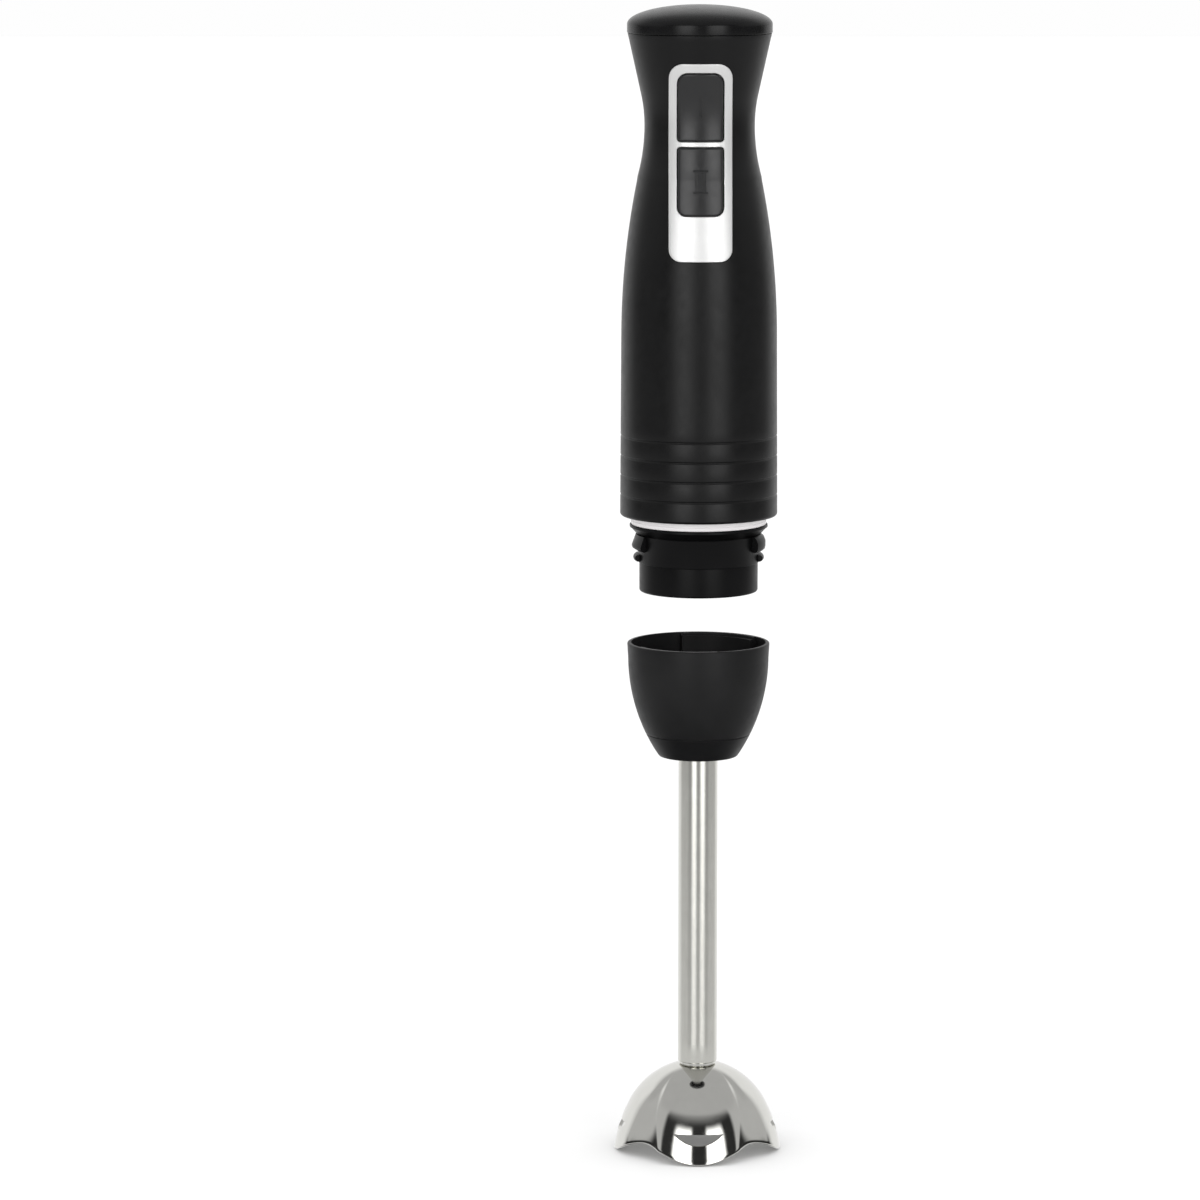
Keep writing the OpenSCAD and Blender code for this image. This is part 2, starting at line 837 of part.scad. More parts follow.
module adapter_cup() {
    color(charcoal) difference() {
        turned(concat(
            [[18.6, cup_split]],
            cup_side(cup_split, 194.7, 9),
            [[cup_r, cup_rim - 0.6], [cup_r - 0.6, cup_rim], [25.5, cup_rim],
                [25.5, cup_rim - 1], [cup_bore_r, cup_rim - 1.2], [cup_bore_r, 181.4],
                [21.8, cup_floor], [9.5, cup_floor], [9.5, boss_top], [5.52, boss_top],
                [5.52, cup_floor_low], [20.5, cup_floor_low]]));
        for (at = [0, 180]) lug_path(at);
        for (a = [90, 210, 330]) rotate(a) translate([anchor_screw_ring, 0, cup_floor_low - 1])
            cylinder(h = 5.3, r = 1.27);
    }
}

module cup_base() {
    color("#1d1d1f") turned(concat(
        [[tube_r + 0.05, cup_low], [15.3, cup_low]],
        cup_side(159.3, cup_split - 0.05, 3),
        [[18.5, cup_split - 0.05], [18.5, 169.5], [17, 169.5], [17, 165.5], [14.6, 160.6],
            [tube_r + 0.05, 160.6]]));
}

module tube_anchor() {
    color("#55565a") difference() {
        ring(14.2, tube_r + 0.02, 164, cup_floor_low - 0.1);
        for (a = [90, 210, 330]) rotate(a) translate([anchor_screw_ring, 0, 163])
            cylinder(h = 10, r = 1.5);
    }
}

module anchor_screws() {
    color(steel) for (a = [90, 210, 330]) rotate(a) translate([anchor_screw_ring, 0, 0])
        difference() {
            union() {
                cylinder_between(2.4, 162.3, 164);
                cylinder_between(1.25, 163.9, 175.5);
            }
            for (b = [0, 90]) rotate(b) translate([0, 0, 162.3])
                cube([2.6, 0.6, 1.6], center = true);
        }
}

module shaft_tube() {
    color(steel) turned([[tube_r - tube_wall, tube_low], [tube_r - 0.3, tube_low],
        [tube_r, tube_low + 0.3], [tube_r, tube_high], [tube_r - tube_wall, tube_high]]);
}

module upper_bush() {
    color(brass) ring(5.5, drive_r + fit, cup_floor_low + 0.1, boss_top + 0.1);
}

module bush_carrier() {
    color("#e4e2da") turned([[4.6, 20.5], [5.55, 20.5], [5.55, 44], [3.2, 44], [3.2, 34.1],
        [4, 34.1], [4, 23.9], [4.6, 23.9]]);
}

module lower_bush() {
    color(brass) ring(3.98, drive_r + fit, 24, 34);
}

module shaft_seal() {
    color("#3f3f42") ring(4.55, drive_r + fit, 20.8, 23.8);
}

// The bell: a turned shell on a neck, with arches between its feet and a slot in each lobe
module bell_guard() {
    arch_half = 18;
    arch_r = (arch_half * arch_half + arch_h * arch_h) / (2 * arch_h);
    slot_high = 12.1;
    slot_h = 4.4;
    slot_r = (slot_w * slot_w / 4 + slot_h * slot_h) / (2 * slot_h);
    color("#c4c3bd") difference() {
        turned(concat(bell_side(0, neck_r),
            [[neck_r, neck_top], [neck_r - neck_wall, neck_top]],
            reversed(bell_side(bell_wall, neck_r - neck_wall))));
        for (a = [45, 135]) rotate(a) translate([0, 0, arch_h - arch_r]) rotate([0, 90, 0])
            cylinder(h = 90, r = arch_r, center = true, $fn = 128);
        for (a = [0:90:270]) rotate(a) along_y(-40, -20) intersection() {
            translate([0, slot_high - slot_h + slot_r]) circle(r = slot_r);
            translate([-slot_w, slot_high - 10]) square([2 * slot_w, 10]);
        }
    }
}

// ---- drive line of the shaft ----

module drive_shaft() {
    color(steel) turned([[0, 9.5], [1.7, 9.5], [2, 9.8], [2, 14.7], [3.6, 14.7], [3.6, 16.6],
        [drive_r, 16.6], [drive_r, 170], [2.1, 170], [2.1, 170.9], [drive_r, 170.9],
        [drive_r, 183.3], [2.2, 183.3], [2.2, 193], [0, 193]]);
}

module drive_spline() {
    chamfer = 1;
    color("#e9e6dc") difference() {
        intersection() {
            union() {
                cylinder_between(spline_core_r, spline_low, spline_high);
                spline_teeth(spline_tip_r, spline_w, spline_low, spline_high);
            }
            turned([[0, spline_low - 1], [7, spline_low - 1], [7, spline_high - 3],
                [spline_tip_r + 0.2, spline_high - 2],
                [spline_tip_r - chamfer, spline_high], [0, spline_high]]);
        }
        cylinder_between(2.22, spline_low - 1, 193.2);
    }
}

module retaining_clip() {
    color("#5d5f61") ring_sector(4.3, 2.12, 170.05, 170.85, 0, 300);
}

// A wing is flat out to its bend, and its outer part rises at the angle lift
module blade_wing(lift) {
    t = 1.3;
    bend = 12;
    rise = (blade_r - bend) * tan(lift);
    intersection() {
        along_y(-6, 6) polygon([[-1, 0], [bend, 0], [blade_r, rise],
            [blade_r, rise + t / cos(lift)], [bend - t * tan(lift / 2), t], [-1, t]]);
        translate([0, 0, -10]) linear_extrude(20) polygon(concat(
            [[-1, -4.2], [bend, -3.6], [blade_r - 3.8, -3.1], [blade_r - 1.6, -2.3]],
            arc([blade_r - 3.2, 0.8], 3.15, 0, 80, 4), [[bend, 4], [-1, 4.2]]));
    }
}

module blade() {
    low = 13.3;
    color("#b4b5b5") difference() {
        translate([0, 0, low]) union() {
            cylinder(h = 1.3, r = 5.2);
            blade_wing(16);
            rotate(180) blade_wing(-14);
        }
        cylinder_between(2.02, low - 1, low + 3);
    }
}

module blade_nut() {
    color("#a8a9a9") difference() {
        union() {
            translate([0, 0, 10]) cylinder(h = 3.2, r = 4.2, $fn = 6);
            turned([[0, 8], [1.6, 8.2], [2.8, 9], [3.3, 10.1], [0, 10.1]]);
        }
        cylinder_between(2.02, 9.4, 14);
    }
}

top_cap();
front_shell();
rear_shell();
case_screws();
button_bezel();
collar_ring();
coupling_nose();
cord_gland();
control_board();
board_screws();
upper_switch();
lower_switch();
suppression_capacitor();
bridge_rectifier();
choke_coil();
motor_can();
left_magnet();
right_magnet();
motor_end_plate();
motor_screws();
lower_bearing();
upper_bearing();
front_brush_holder();
rear_brush_holder();
front_brush();
rear_brush();
front_brush_spring();
rear_brush_spring();
lower_mount_ring();
upper_mount_ring();
motor_leads();
motor_shaft();
armature_core();
armature_windings();
commutator();
cooling_fan();
drive_coupling();
upper_button();
lower_button();
upper_button_spring();
lower_button_spring();
upper_plunger();
lower_plunger();
cup_gasket();
adapter_cup();
cup_base();
tube_anchor();
anchor_screws();
shaft_tube();
upper_bush();
bush_carrier();
lower_bush();
shaft_seal();
bell_guard();
drive_shaft();
drive_spline();
retaining_clip();
blade();
blade_nut();
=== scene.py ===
"""Immersion blender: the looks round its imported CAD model.

Sizes here are in millimetres, in the CAD frame, and each mesh is scaled to metres when it is made.
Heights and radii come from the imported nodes; the arcs between them are named below.
"""

import json
from math import acos, asin, cos, degrees, hypot, pi, radians, sin, sqrt

import bmesh
import bpy
from mathutils import Matrix, Vector


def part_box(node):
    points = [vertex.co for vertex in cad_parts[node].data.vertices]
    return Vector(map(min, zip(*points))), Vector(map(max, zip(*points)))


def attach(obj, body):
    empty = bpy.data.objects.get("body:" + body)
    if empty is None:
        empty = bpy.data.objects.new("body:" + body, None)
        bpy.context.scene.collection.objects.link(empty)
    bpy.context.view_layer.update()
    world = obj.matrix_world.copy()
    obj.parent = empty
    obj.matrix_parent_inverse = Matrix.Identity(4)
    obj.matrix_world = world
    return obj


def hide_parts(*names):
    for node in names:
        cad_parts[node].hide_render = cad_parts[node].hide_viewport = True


MM = 0.001

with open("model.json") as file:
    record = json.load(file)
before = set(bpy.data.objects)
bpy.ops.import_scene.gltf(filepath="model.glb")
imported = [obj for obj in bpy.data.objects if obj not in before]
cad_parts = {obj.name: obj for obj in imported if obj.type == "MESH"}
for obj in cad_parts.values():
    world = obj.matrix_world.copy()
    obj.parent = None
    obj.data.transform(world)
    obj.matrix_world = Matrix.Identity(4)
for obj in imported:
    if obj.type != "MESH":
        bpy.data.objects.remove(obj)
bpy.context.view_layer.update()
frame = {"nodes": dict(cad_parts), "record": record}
scene = bpy.context.scene


def low(node):
    """Lowest corner of a CAD node, in millimetres."""
    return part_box(node)[0] / MM


def high(node):
    """Highest corner of a CAD node, in millimetres."""
    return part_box(node)[1] / MM


# ---------------------------------------------------------------- outlines


def arc(cx, cz, r, start, end, steps=8):
    """Points of an arc about (cx, cz), with its angles in degrees."""
    turn = [radians(start + (end - start) * i / steps) for i in range(steps + 1)]
    return [(cx + r * cos(a), cz + r * sin(a)) for a in turn]


def span(a, b, steps):
    """Evenly spaced numbers from a to b, both included."""
    return [a + (b - a) * i / steps for i in range(steps + 1)]


def panel_outline(width, bottom, top, top_r, low_r, grow=0.0):
    """A rounded panel's outline as (x, z) points, with the same count at every grow."""
    arc_steps, side_steps, end_steps = 7, 14, 8
    points = []
    quarters = [
        (1, bottom, low_r, 1, -90, side_steps),
        (1, top, top_r, -1, 0, end_steps),
        (-1, top, top_r, -1, 90, side_steps),
        (-1, bottom, low_r, 1, 180, end_steps),
    ]
    for side, edge, r, up, start, _ in quarters:
        cx, cz = side * (width / 2 - r), edge + up * r
        points.append(arc(cx, cz, r + grow, start, start + 90, arc_steps))
    loop = []
    for i, corner in enumerate(points):
        loop += corner
        (x0, z0), (x1, z1) = corner[-1], points[(i + 1) % 4][0]
        steps = quarters[i][5]
        loop += [(x0 + (x1 - x0) * k / steps, z0 + (z1 - z0) * k / steps) for k in range(1, steps)]
    return loop


# ---------------------------------------------------------------- meshes


def make(name, verts, faces):
    """A closed mesh object from points in millimetres, with doubles merged and faces turned outwards."""
    mesh = bpy.data.meshes.new(name)
    mesh.from_pydata([Vector(v) * MM for v in verts], [], faces)
    bm = bmesh.new()
    bm.from_mesh(mesh)
    bmesh.ops.remove_doubles(bm, verts=bm.verts, dist=1e-7)
    bmesh.ops.recalc_face_normals(bm, faces=bm.faces)
    bm.to_mesh(mesh)
    bm.free()
    obj = bpy.data.objects.new(name, mesh)
    scene.collection.objects.link(obj)
    return obj


def grid(name, rings, closed_columns=True, cap_ends=False):
    """Quads between rings of points. Each ring is closed; the last ring joins the first if asked."""
    n = len(rings[0])
    verts = [v for ring in rings for v in ring]
    count = len(rings)
    faces = []
    for i in range(count if closed_columns else count - 1):
        j = (i + 1) % count
        for k in range(n):
            m = (k + 1) % n
            faces.append((i * n + k, i * n + m, j * n + m, j * n + k))
    if cap_ends:
        faces.append(tuple(range(n)))
        faces.append(tuple((count - 1) * n + k for k in range(n)))
    return make(name, verts, faces)


def lathe(name, loop, steps=192, start=0.0, sweep=360.0):
    """A closed (radius, height) outline turned about Z. loop may be a function of the angle."""
    full = sweep >= 360
    columns = steps if full else steps + 1
    rings = []
    for i in range(columns):
        a = start + sweep * i / steps
        outline = loop(a) if callable(loop) else loop
        c, s = cos(radians(a)), sin(radians(a))
        rings.append([(r * c, r * s, z) for r, z in outline])
    return grid(name, rings, closed_columns=full, cap_ends=not full)


def sector(name, outline, at, width, steps=48):
    """A capped sector of a turned outline, centred on the angle at."""
    return lathe(name, outline, steps, at - width / 2, width)


def box_outline(inner, outer, bottom, top):
    return [(inner, bottom), (outer, bottom), (outer, top), (inner, top)]


def prism(name, outline, y0, y1):
    """An outline of (x, z) points carried along Y."""
    return grid(
        name, [[(x, y, z) for x, z in outline] for y in (y0, y1)], closed_columns=False, cap_ends=True
    )


def rod_y(name, r, x, z, y0, y1, steps=48):
    return prism(name, arc(x, z, r, 0, 360 - 360 / steps, steps - 1), y0, y1)


def coil_y(name, z, y0, y1, r, wire, turns, steps=24):
    """A coil of round wire about an axis along Y, with the wire's middle at radius r."""
    rings = []
    for i in range(turns * steps + 1):
        a = 2 * pi * i / steps
        y = y0 + wire + (y1 - y0 - 2 * wire) * i / (turns * steps)
        section = arc(r, y, wire, 0, 315, 7)
        rings.append([(out * cos(a), along, z + out * sin(a)) for out, along in section])
    return grid(name, rings, closed_columns=False, cap_ends=True)


def drop(obj):
    mesh = obj.data
    bpy.data.objects.remove(obj)
    bpy.data.meshes.remove(mesh)


def combine(obj, others, operation):
    """Cuts others from obj, or joins them to it, and removes them."""
    for other in others:
        modifier = obj.modifiers.new(operation, "BOOLEAN")
        modifier.object = other
        modifier.operation = operation
        modifier.solver = "EXACT"
        mesh = bpy.data.meshes.new_from_object(obj.evaluated_get(bpy.context.evaluated_depsgraph_get()))
        obj.modifiers.clear()
        old = obj.data
        obj.data = mesh
        bpy.data.meshes.remove(old)
        drop(other)
    return obj


def cut(obj, *others):
    return combine(obj, others, "DIFFERENCE")


def join(obj, *others):
    return combine(obj, others, "UNION")


def place(obj, body, slot, material, *replaced, sharp=32):
    """Smooths a piece, gives it its material, and puts it on its body in place of its CAD nodes."""
    mesh = obj.data
    mesh.materials.clear()
    mesh.materials.append(material)
    mesh.polygons.foreach_set("use_smooth", [True] * len(mesh.polygons))
    mesh.polygons.foreach_set("material_index", [0] * len(mesh.polygons))
    mesh.set_sharp_from_angle(angle=radians(sharp))
    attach(obj, body)
    if replaced:
        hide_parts(*replaced)
    return obj


# ---------------------------------------------------------------- materials


class Shader:
    """A material's node tree, with its helpers."""

    def __init__(self, name):
        self.material = bpy.data.materials.new(name)
        self.material.use_nodes = True
        self.tree = self.material.node_tree
        self.main = self.tree.nodes["Principled BSDF"]
        self.place = self.node("ShaderNodeTexCoord").outputs["Object"]

    def node(self, kind, **values):
        made = self.tree.nodes.new(kind)
        for key, value in values.items():
            setattr(made, key, value)
        return made

    def link(self, source, target):
        self.tree.links.new(source, target)

    def set(self, **values):
        for key, value in values.items():
            self.main.inputs[key.replace("_", " ")].default_value = value

    def stretched(self, stretch):
        mapping = self.node("ShaderNodeMapping")
        mapping.inputs["Scale"].default_value = stretch
        self.link(self.place, mapping.inputs["Vector"])
        return mapping.outputs["Vector"]

    def noise(self, size, detail=3.0, rough=0.55, stretch=None):
        """Noise whose features are about size millimetres across."""
        texture = self.node("ShaderNodeTexNoise")
        texture.inputs["Scale"].default_value = 1 / (size * MM)
        texture.inputs["Detail"].default_value = detail
        texture.inputs["Roughness"].default_value = rough
        self.link(self.stretched(stretch) if stretch else self.place, texture.inputs["Vector"])
        return texture.outputs["Fac"]

    def cells(self, size):
        texture = self.node("ShaderNodeTexVoronoi", feature="SMOOTH_F1")
        texture.inputs["Scale"].default_value = 1 / (size * MM)
        self.link(self.place, texture.inputs["Vector"])
        return texture.outputs["Distance"]

    def mapped(self, source, lowest, highest, start=0.3, end=0.7):
        remap = self.node("ShaderNodeMapRange")
        for key, value in (("From Min", start), ("From Max", end), ("To Min", lowest), ("To Max", highest)):
            remap.inputs[key].default_value = value
        self.link(source, remap.inputs["Value"])
        return remap.outputs["Result"]

    def blend(self, factor, a, b):
        mix = self.node("ShaderNodeMix", data_type="RGBA")
        for index, value in ((6, a), (7, b)):
            if hasattr(value, "is_output"):
                self.link(value, mix.inputs[index])
            else:
                mix.inputs[index].default_value = (*value, 1)
        self.link(factor, mix.inputs[0])
        return mix.outputs[2]

    def tint(self, factor, a, b):
        self.link(self.blend(factor, a, b), self.main.inputs["Base Color"])

    def rough(self, source, lowest, highest):
        self.link(self.mapped(source, lowest, highest), self.main.inputs["Roughness"])

    def bump(self, *layers):
        """Layers of (height source, depth in micrometres), the finest last."""
        normal = None
        for source, depth in layers:
            bump = self.node("ShaderNodeBump")
            bump.inputs["Distance"].default_value = depth * 1e-6
            self.link(source, bump.inputs["Height"])
            if normal:
                self.link(normal, bump.inputs["Normal"])
            normal = bump.outputs["Normal"]
        self.link(normal, self.main.inputs["Normal"])


def shade(colour, factor):
    return tuple(c * factor for c in colour)


def moulded(name, colour, rough, grain=0.35, depth=9, vary=0.15, specular=0.5):
    """Moulded plastic: spark-eroded grain, cloudy sheen and fine handling marks."""
    s = Shader(name)
    cloud = s.noise(14)
    s.tint(s.mapped(cloud, 0, 1), shade(colour, 1 - vary), shade(colour, 1 + vary))
    marks = s.noise(1.1, detail=5, stretch=(1, 1, 0.12))
    s.rough(s.noise(3.5, detail=6), rough * 0.9, rough * 1.12)
    s.bump((marks, depth * 0.3), (s.cells(grain), depth))
    s.set(Specular_IOR_Level=specular)
    return s.material


def lacquered(name, colour, rough):
    """Silver lacquer over plastic: metal flakes under a satin coat."""
    s = Shader(name)
    flakes = s.noise(0.12, detail=2)
    s.tint(s.mapped(flakes, 0, 1), shade(colour, 0.93), colour)
    s.rough(s.noise(2.5, detail=4), rough * 0.92, rough * 1.1)
    s.bump((s.noise(0.9), 2), (flakes, 1.2))
    s.set(Metallic=0.7, Coat_Weight=0.15, Coat_Roughness=0.3)
    return s.material


def drawn_steel(name, colour, rough, along=(1, 1, 0.01), line=0.09, depth=0.5, spread=0.3):
    """Steel with fine lines left along one direction by drawing, grinding or polishing."""
    s = Shader(name)
    lines = s.noise(line, detail=4, stretch=along)
    haze = s.noise(9, detail=5)
    s.tint(s.mapped(haze, 0, 1), shade(colour, 0.95), colour)
    s.link(s.mapped(lines, rough * (1 - spread), rough * (1 + spread)), s.main.inputs["Roughness"])
    s.bump((haze, 1.0), (lines, depth))
    s.set(Metallic=1.0)
    return s.material


def mirror_steel(name, colour, rough):
    """Pressed and polished steel: nearly a mirror, with faint smears, ripples and hairlines."""
    s = Shader(name)
    smear = s.noise(6, detail=7, rough=0.6)
    hairs = s.noise(0.16, detail=3, stretch=(1, 1, 9))
    s.tint(s.mapped(smear, 0, 1), shade(colour, 0.96), colour)
    s.rough(smear, rough * 0.7, rough * 1.5)
    s.bump((s.noise(13, detail=1), 9), (hairs, 0.12))
    s.set(Metallic=1.0)
    return s.material


def soft_rubber(name, colour, rough=0.75):
    s = Shader(name)
    s.tint(s.mapped(s.noise(2), 0, 1), shade(colour, 0.8), shade(colour, 1.25))
    s.rough(s.noise(1.5, detail=4), rough * 0.92, rough * 1.08)
    s.bump((s.noise(0.25, detail=4), 6),)
    s.set(Specular_IOR_Level=0.3)
    return s.material


def cast_metal(name, colour, rough, metallic=1.0, grain=0.5, depth=12):
    s = Shader(name)
    speckle = s.noise(grain, detail=6)
    s.tint(s.mapped(speckle, 0, 1), shade(colour, 0.75), shade(colour, 1.15))
    s.rough(s.noise(2, detail=4), rough * 0.85, rough * 1.1)
    s.bump((speckle, depth),)
    s.set(Metallic=metallic)
    return s.material


def banded(name, colour, gap, pitch, rough, metallic, axis="Z", depth=40):
    """Turns of wire or stacked sheets: dark gaps every pitch millimetres along one axis."""
    s = Shader(name)
    wave = s.node("ShaderNodeTexWave", bands_direction=axis)
    wave.inputs["Scale"].default_value = 0.314 / (pitch * MM) / 2
    wave.inputs["Distortion"].default_value = 0.6
    s.link(s.place, wave.inputs["Vector"])
    s.tint(s.mapped(wave.outputs["Fac"], 0, 1, 0.05, 0.5), gap, colour)
    s.rough(s.noise(1.5, detail=3), rough * 0.85, rough * 1.15)
    s.bump((wave.outputs["Fac"], depth),)
    s.set(Metallic=metallic)
    return s.material


def circuit(name):
    """Green solder mask with copper tracks showing through."""
    s = Shader(name)
    tracks = s.node("ShaderNodeTexBrick")
    tracks.inputs["Scale"].default_value = 1 / (9 * MM)
    tracks.inputs["Mortar Size"].default_value = 0.03
    tracks.inputs["Color1"].default_value = (0.02, 0.13, 0.05, 1)
    tracks.inputs["Color2"].default_value = (0.025, 0.17, 0.065, 1)
    tracks.inputs["Mortar"].default_value = (0.08, 0.26, 0.10, 1)
    turned = s.node("ShaderNodeMapping")
    turned.inputs["Rotation"].default_value = (radians(90), 0, 0)
    s.link(s.place, turned.inputs["Vector"])
    s.link(turned.outputs["Vector"], tracks.inputs["Vector"])
    s.link(tracks.outputs["Color"], s.main.inputs["Base Color"])
    s.rough(s.noise(2), 0.28, 0.4)
    s.bump((tracks.outputs["Fac"], 30),)
    return s.material


MATERIALS = {
    "cap_black": moulded("cap_black", (0.005, 0.005, 0.0053), 0.26, grain=0.4, depth=0.6, specular=0.2),
    "body_black": moulded("body_black", (0.0038, 0.0038, 0.004), 0.36, grain=0.3, depth=4, specular=0.26),
    "button_grey": moulded("button_grey", (0.012, 0.012, 0.0127), 0.32, grain=0.28, depth=3, specular=0.5),
    "bezel_silver": lacquered("bezel_silver", (0.84, 0.84, 0.835), 0.42),
    "ring_white": moulded("ring_white", (0.80, 0.78, 0.785), 0.5, grain=0.5, depth=2, vary=0.02),
    "nose_black": moulded("nose_black", (0.003, 0.003, 0.0033), 0.36, grain=0.5, depth=1.5, specular=0.13),
    "gland_rubber": soft_rubber("gland_rubber", (0.016, 0.016, 0.017)),
    "cup_black": moulded("cup_black", (0.0095, 0.0095, 0.0099), 0.42, grain=0.35, depth=4, specular=0.18),
    "base_black": moulded("base_black", (0.006, 0.006, 0.0065), 0.4, grain=0.35, depth=4, specular=0.2),
    "tube_steel": drawn_steel("tube_steel", (0.74, 0.735, 0.69), 0.2),
    "bell_steel": mirror_steel("bell_steel", (0.73, 0.725, 0.69), 0.07),
    "blade_steel": drawn_steel("blade_steel", (0.62, 0.62, 0.61), 0.2, along=(0.05, 1, 1), line=0.2),
    "rod_steel": drawn_steel("rod_steel", (0.55, 0.55, 0.54), 0.24, along=(1, 1, 8), line=0.3),
    "plain_steel": cast_metal("plain_steel", (0.50, 0.50, 0.49), 0.34, grain=1.5, depth=3),
    "bush_bronze": cast_metal("bush_bronze", (0.62, 0.40, 0.17), 0.4, grain=0.25, depth=8),
    "copper_wire": banded("copper_wire", (0.72, 0.30, 0.13), (0.16, 0.05, 0.02), 0.5, 0.3, 1.0),
    "magnet_ferrite": cast_metal("magnet_ferrite", (0.06, 0.06, 0.065), 0.6, metallic=0.2),
    "core_iron": banded("core_iron", (0.30, 0.30, 0.31), (0.08, 0.07, 0.06), 0.6, 0.45, 1.0),
    "carbon": cast_metal("carbon", (0.03, 0.03, 0.032), 0.65, metallic=0.0, grain=0.2),
    "inner_plastic": moulded("inner_plastic", (0.72, 0.70, 0.64), 0.42, vary=0.03),
    "red_plastic": moulded("red_plastic", (0.36, 0.02, 0.018), 0.4, vary=0.08),
    "dark_plastic": moulded("dark_plastic", (0.03, 0.03, 0.032), 0.42),
    "board_green": circuit("board_green"),
    "yellow_case": moulded("yellow_case", (0.62, 0.47, 0.06), 0.4, vary=0.05),
    "seal_rubber": soft_rubber("seal_rubber", (0.10, 0.10, 0.105), 0.6),
    "lead_pvc": soft_rubber("lead_pvc", (0.33, 0.02, 0.02), 0.5),
}


def refinish(node, slot):
    """Gives a CAD node that stays its finished material."""
    data = frame["nodes"][node].data
    data.materials.clear()
    data.materials.append(MATERIALS[slot])


for part in frame["record"]["subparts"]:
    refinish(part["node"], part["material_slot"])


# ---------------------------------------------------------------- handle

SHELL_LOW = low("front_shell").z
SEAM_Z = high("front_shell").z
BARREL_LOW_R = high("front_shell").x
BARREL_TOP, BARREL_R = 323.3, 30.35
TAPER_R, TAPER_A = 310.0, 11.31
WAIST_Z, WAIST_R = 405.8, 21.4
WAIST_LOW_R, WAIST_HIGH_R, FLARE_A = 75.0, 55.0, 12.4
SEAM_R = 27.95
SHELL_WALL = 2.2
SHELL_EDGE = 1.2
SHELL_FLOOR = 2.5
SEAM_GAP = 0.003  # degrees that each half stops short of the seam
NOSE_HOLE_R = 23.4
TAPER_TOP = BARREL_TOP + TAPER_R * sin(radians(TAPER_A))
FLARE_LOW = WAIST_Z + WAIST_HIGH_R * sin(radians(FLARE_A))
FLARE_R = WAIST_R + WAIST_HIGH_R * (1 - cos(radians(FLARE_A)))


def side_r(z):
    """The handle's radius at a height."""
    if z <= BARREL_TOP:
        return BARREL_R + (BARREL_LOW_R - BARREL_R) * (BARREL_TOP - z) / (BARREL_TOP - SHELL_LOW)
    if z <= TAPER_TOP:
        return BARREL_R - TAPER_R + sqrt(TAPER_R**2 - (z - BARREL_TOP) ** 2)
    if z <= WAIST_Z:
        return WAIST_R + WAIST_LOW_R - sqrt(WAIST_LOW_R**2 - (z - WAIST_Z) ** 2)
    if z <= FLARE_LOW:
        return WAIST_R + WAIST_HIGH_R - sqrt(WAIST_HIGH_R**2 - (z - WAIST_Z) ** 2)
    return FLARE_R + (SEAM_R - FLARE_R) * (z - FLARE_LOW) / (SEAM_Z - FLARE_LOW)


GROOVE_TOP, GROOVE_PITCH, GROOVE_COUNT = 285.0, 7.7, 4
GROOVE_HALF, GROOVE_DEPTH = 0.6, 0.3
GROOVES = [GROOVE_TOP - i * GROOVE_PITCH for i in range(GROOVE_COUNT)]


def grooved_side():
    """The barrel and waist from bottom to top, with a rounded groove at each grip line."""
    points = []
    for z in reversed(GROOVES):
        for t in span(-1, 1, 12):
            dip = GROOVE_DEPTH * (0.5 + 0.5 * cos(pi * t))
            points.append((side_r(z + t * GROOVE_HALF) - dip, z + t * GROOVE_HALF))
    points += [(side_r(z), z) for z in span(GROOVE_TOP + 4, SEAM_Z - 0.35, 80)]
    return points + [(side_r(SEAM_Z) - 0.08, SEAM_Z - 0.1), (side_r(SEAM_Z) - 0.3, SEAM_Z)]


def half_shell(name, start):
    outer = arc(BARREL_LOW_R - SHELL_EDGE, SHELL_LOW + SHELL_EDGE, SHELL_EDGE, -90, 0, 10)
    floor_top = SHELL_LOW + SHELL_FLOOR
    inner = [(side_r(z) - SHELL_WALL, z) for z in span(SEAM_Z, floor_top, 40)]
    loop = [(NOSE_HOLE_R, SHELL_LOW), *outer, *grooved_side(), *inner, (NOSE_HOLE_R, floor_top)]
    return lathe(name, loop, 120, start + SEAM_GAP, 180 - 2 * SEAM_GAP)


def front_y(x, z, out):
    """Y on the handle's front, moved out of its surface."""
    return -sqrt((side_r(z) + out) ** 2 - x * x)


def on_front(outline, out):
    return [(x, front_y(x, z, out), z) for x, z in outline]


def towards_spine(outline, t):
    """The outline shrunk towards its middle line: all the way at 0, and not at all at 1."""
    zs = [z for _, z in outline]
    half = max(x for x, _ in outline)
    bottom, top = min(zs) + half, max(zs) - half
    middle = [min(max(z, bottom), top) for _, z in outline]
    return [(x * t, m + (z - m) * t) for (x, z), m in zip(outline, middle)]


def front_plate(name, spec, rise, depth, edge, grow=0.0):
    """A plate that follows the handle's front, from depth inside it to rise outside, with a round edge."""
    flat = panel_outline(*spec, grow=grow - edge)
    rings = [on_front(towards_spine(flat, t), rise) for t in (0, 0.2, 0.4, 0.6, 0.8, 0.93, 1)]
    for a in span(15, 90, 5):
        outline = panel_outline(*spec, grow=grow - edge * (1 - sin(radians(a))))
        rings.append(on_front(outline, rise - edge * (1 - cos(radians(a)))))
    side = panel_outline(*spec, grow=grow)
    rings += [on_front(towards_spine(side, t), -depth) for t in (1, 0.6, 0.3, 0)]
    return grid(name, rings, closed_columns=False)


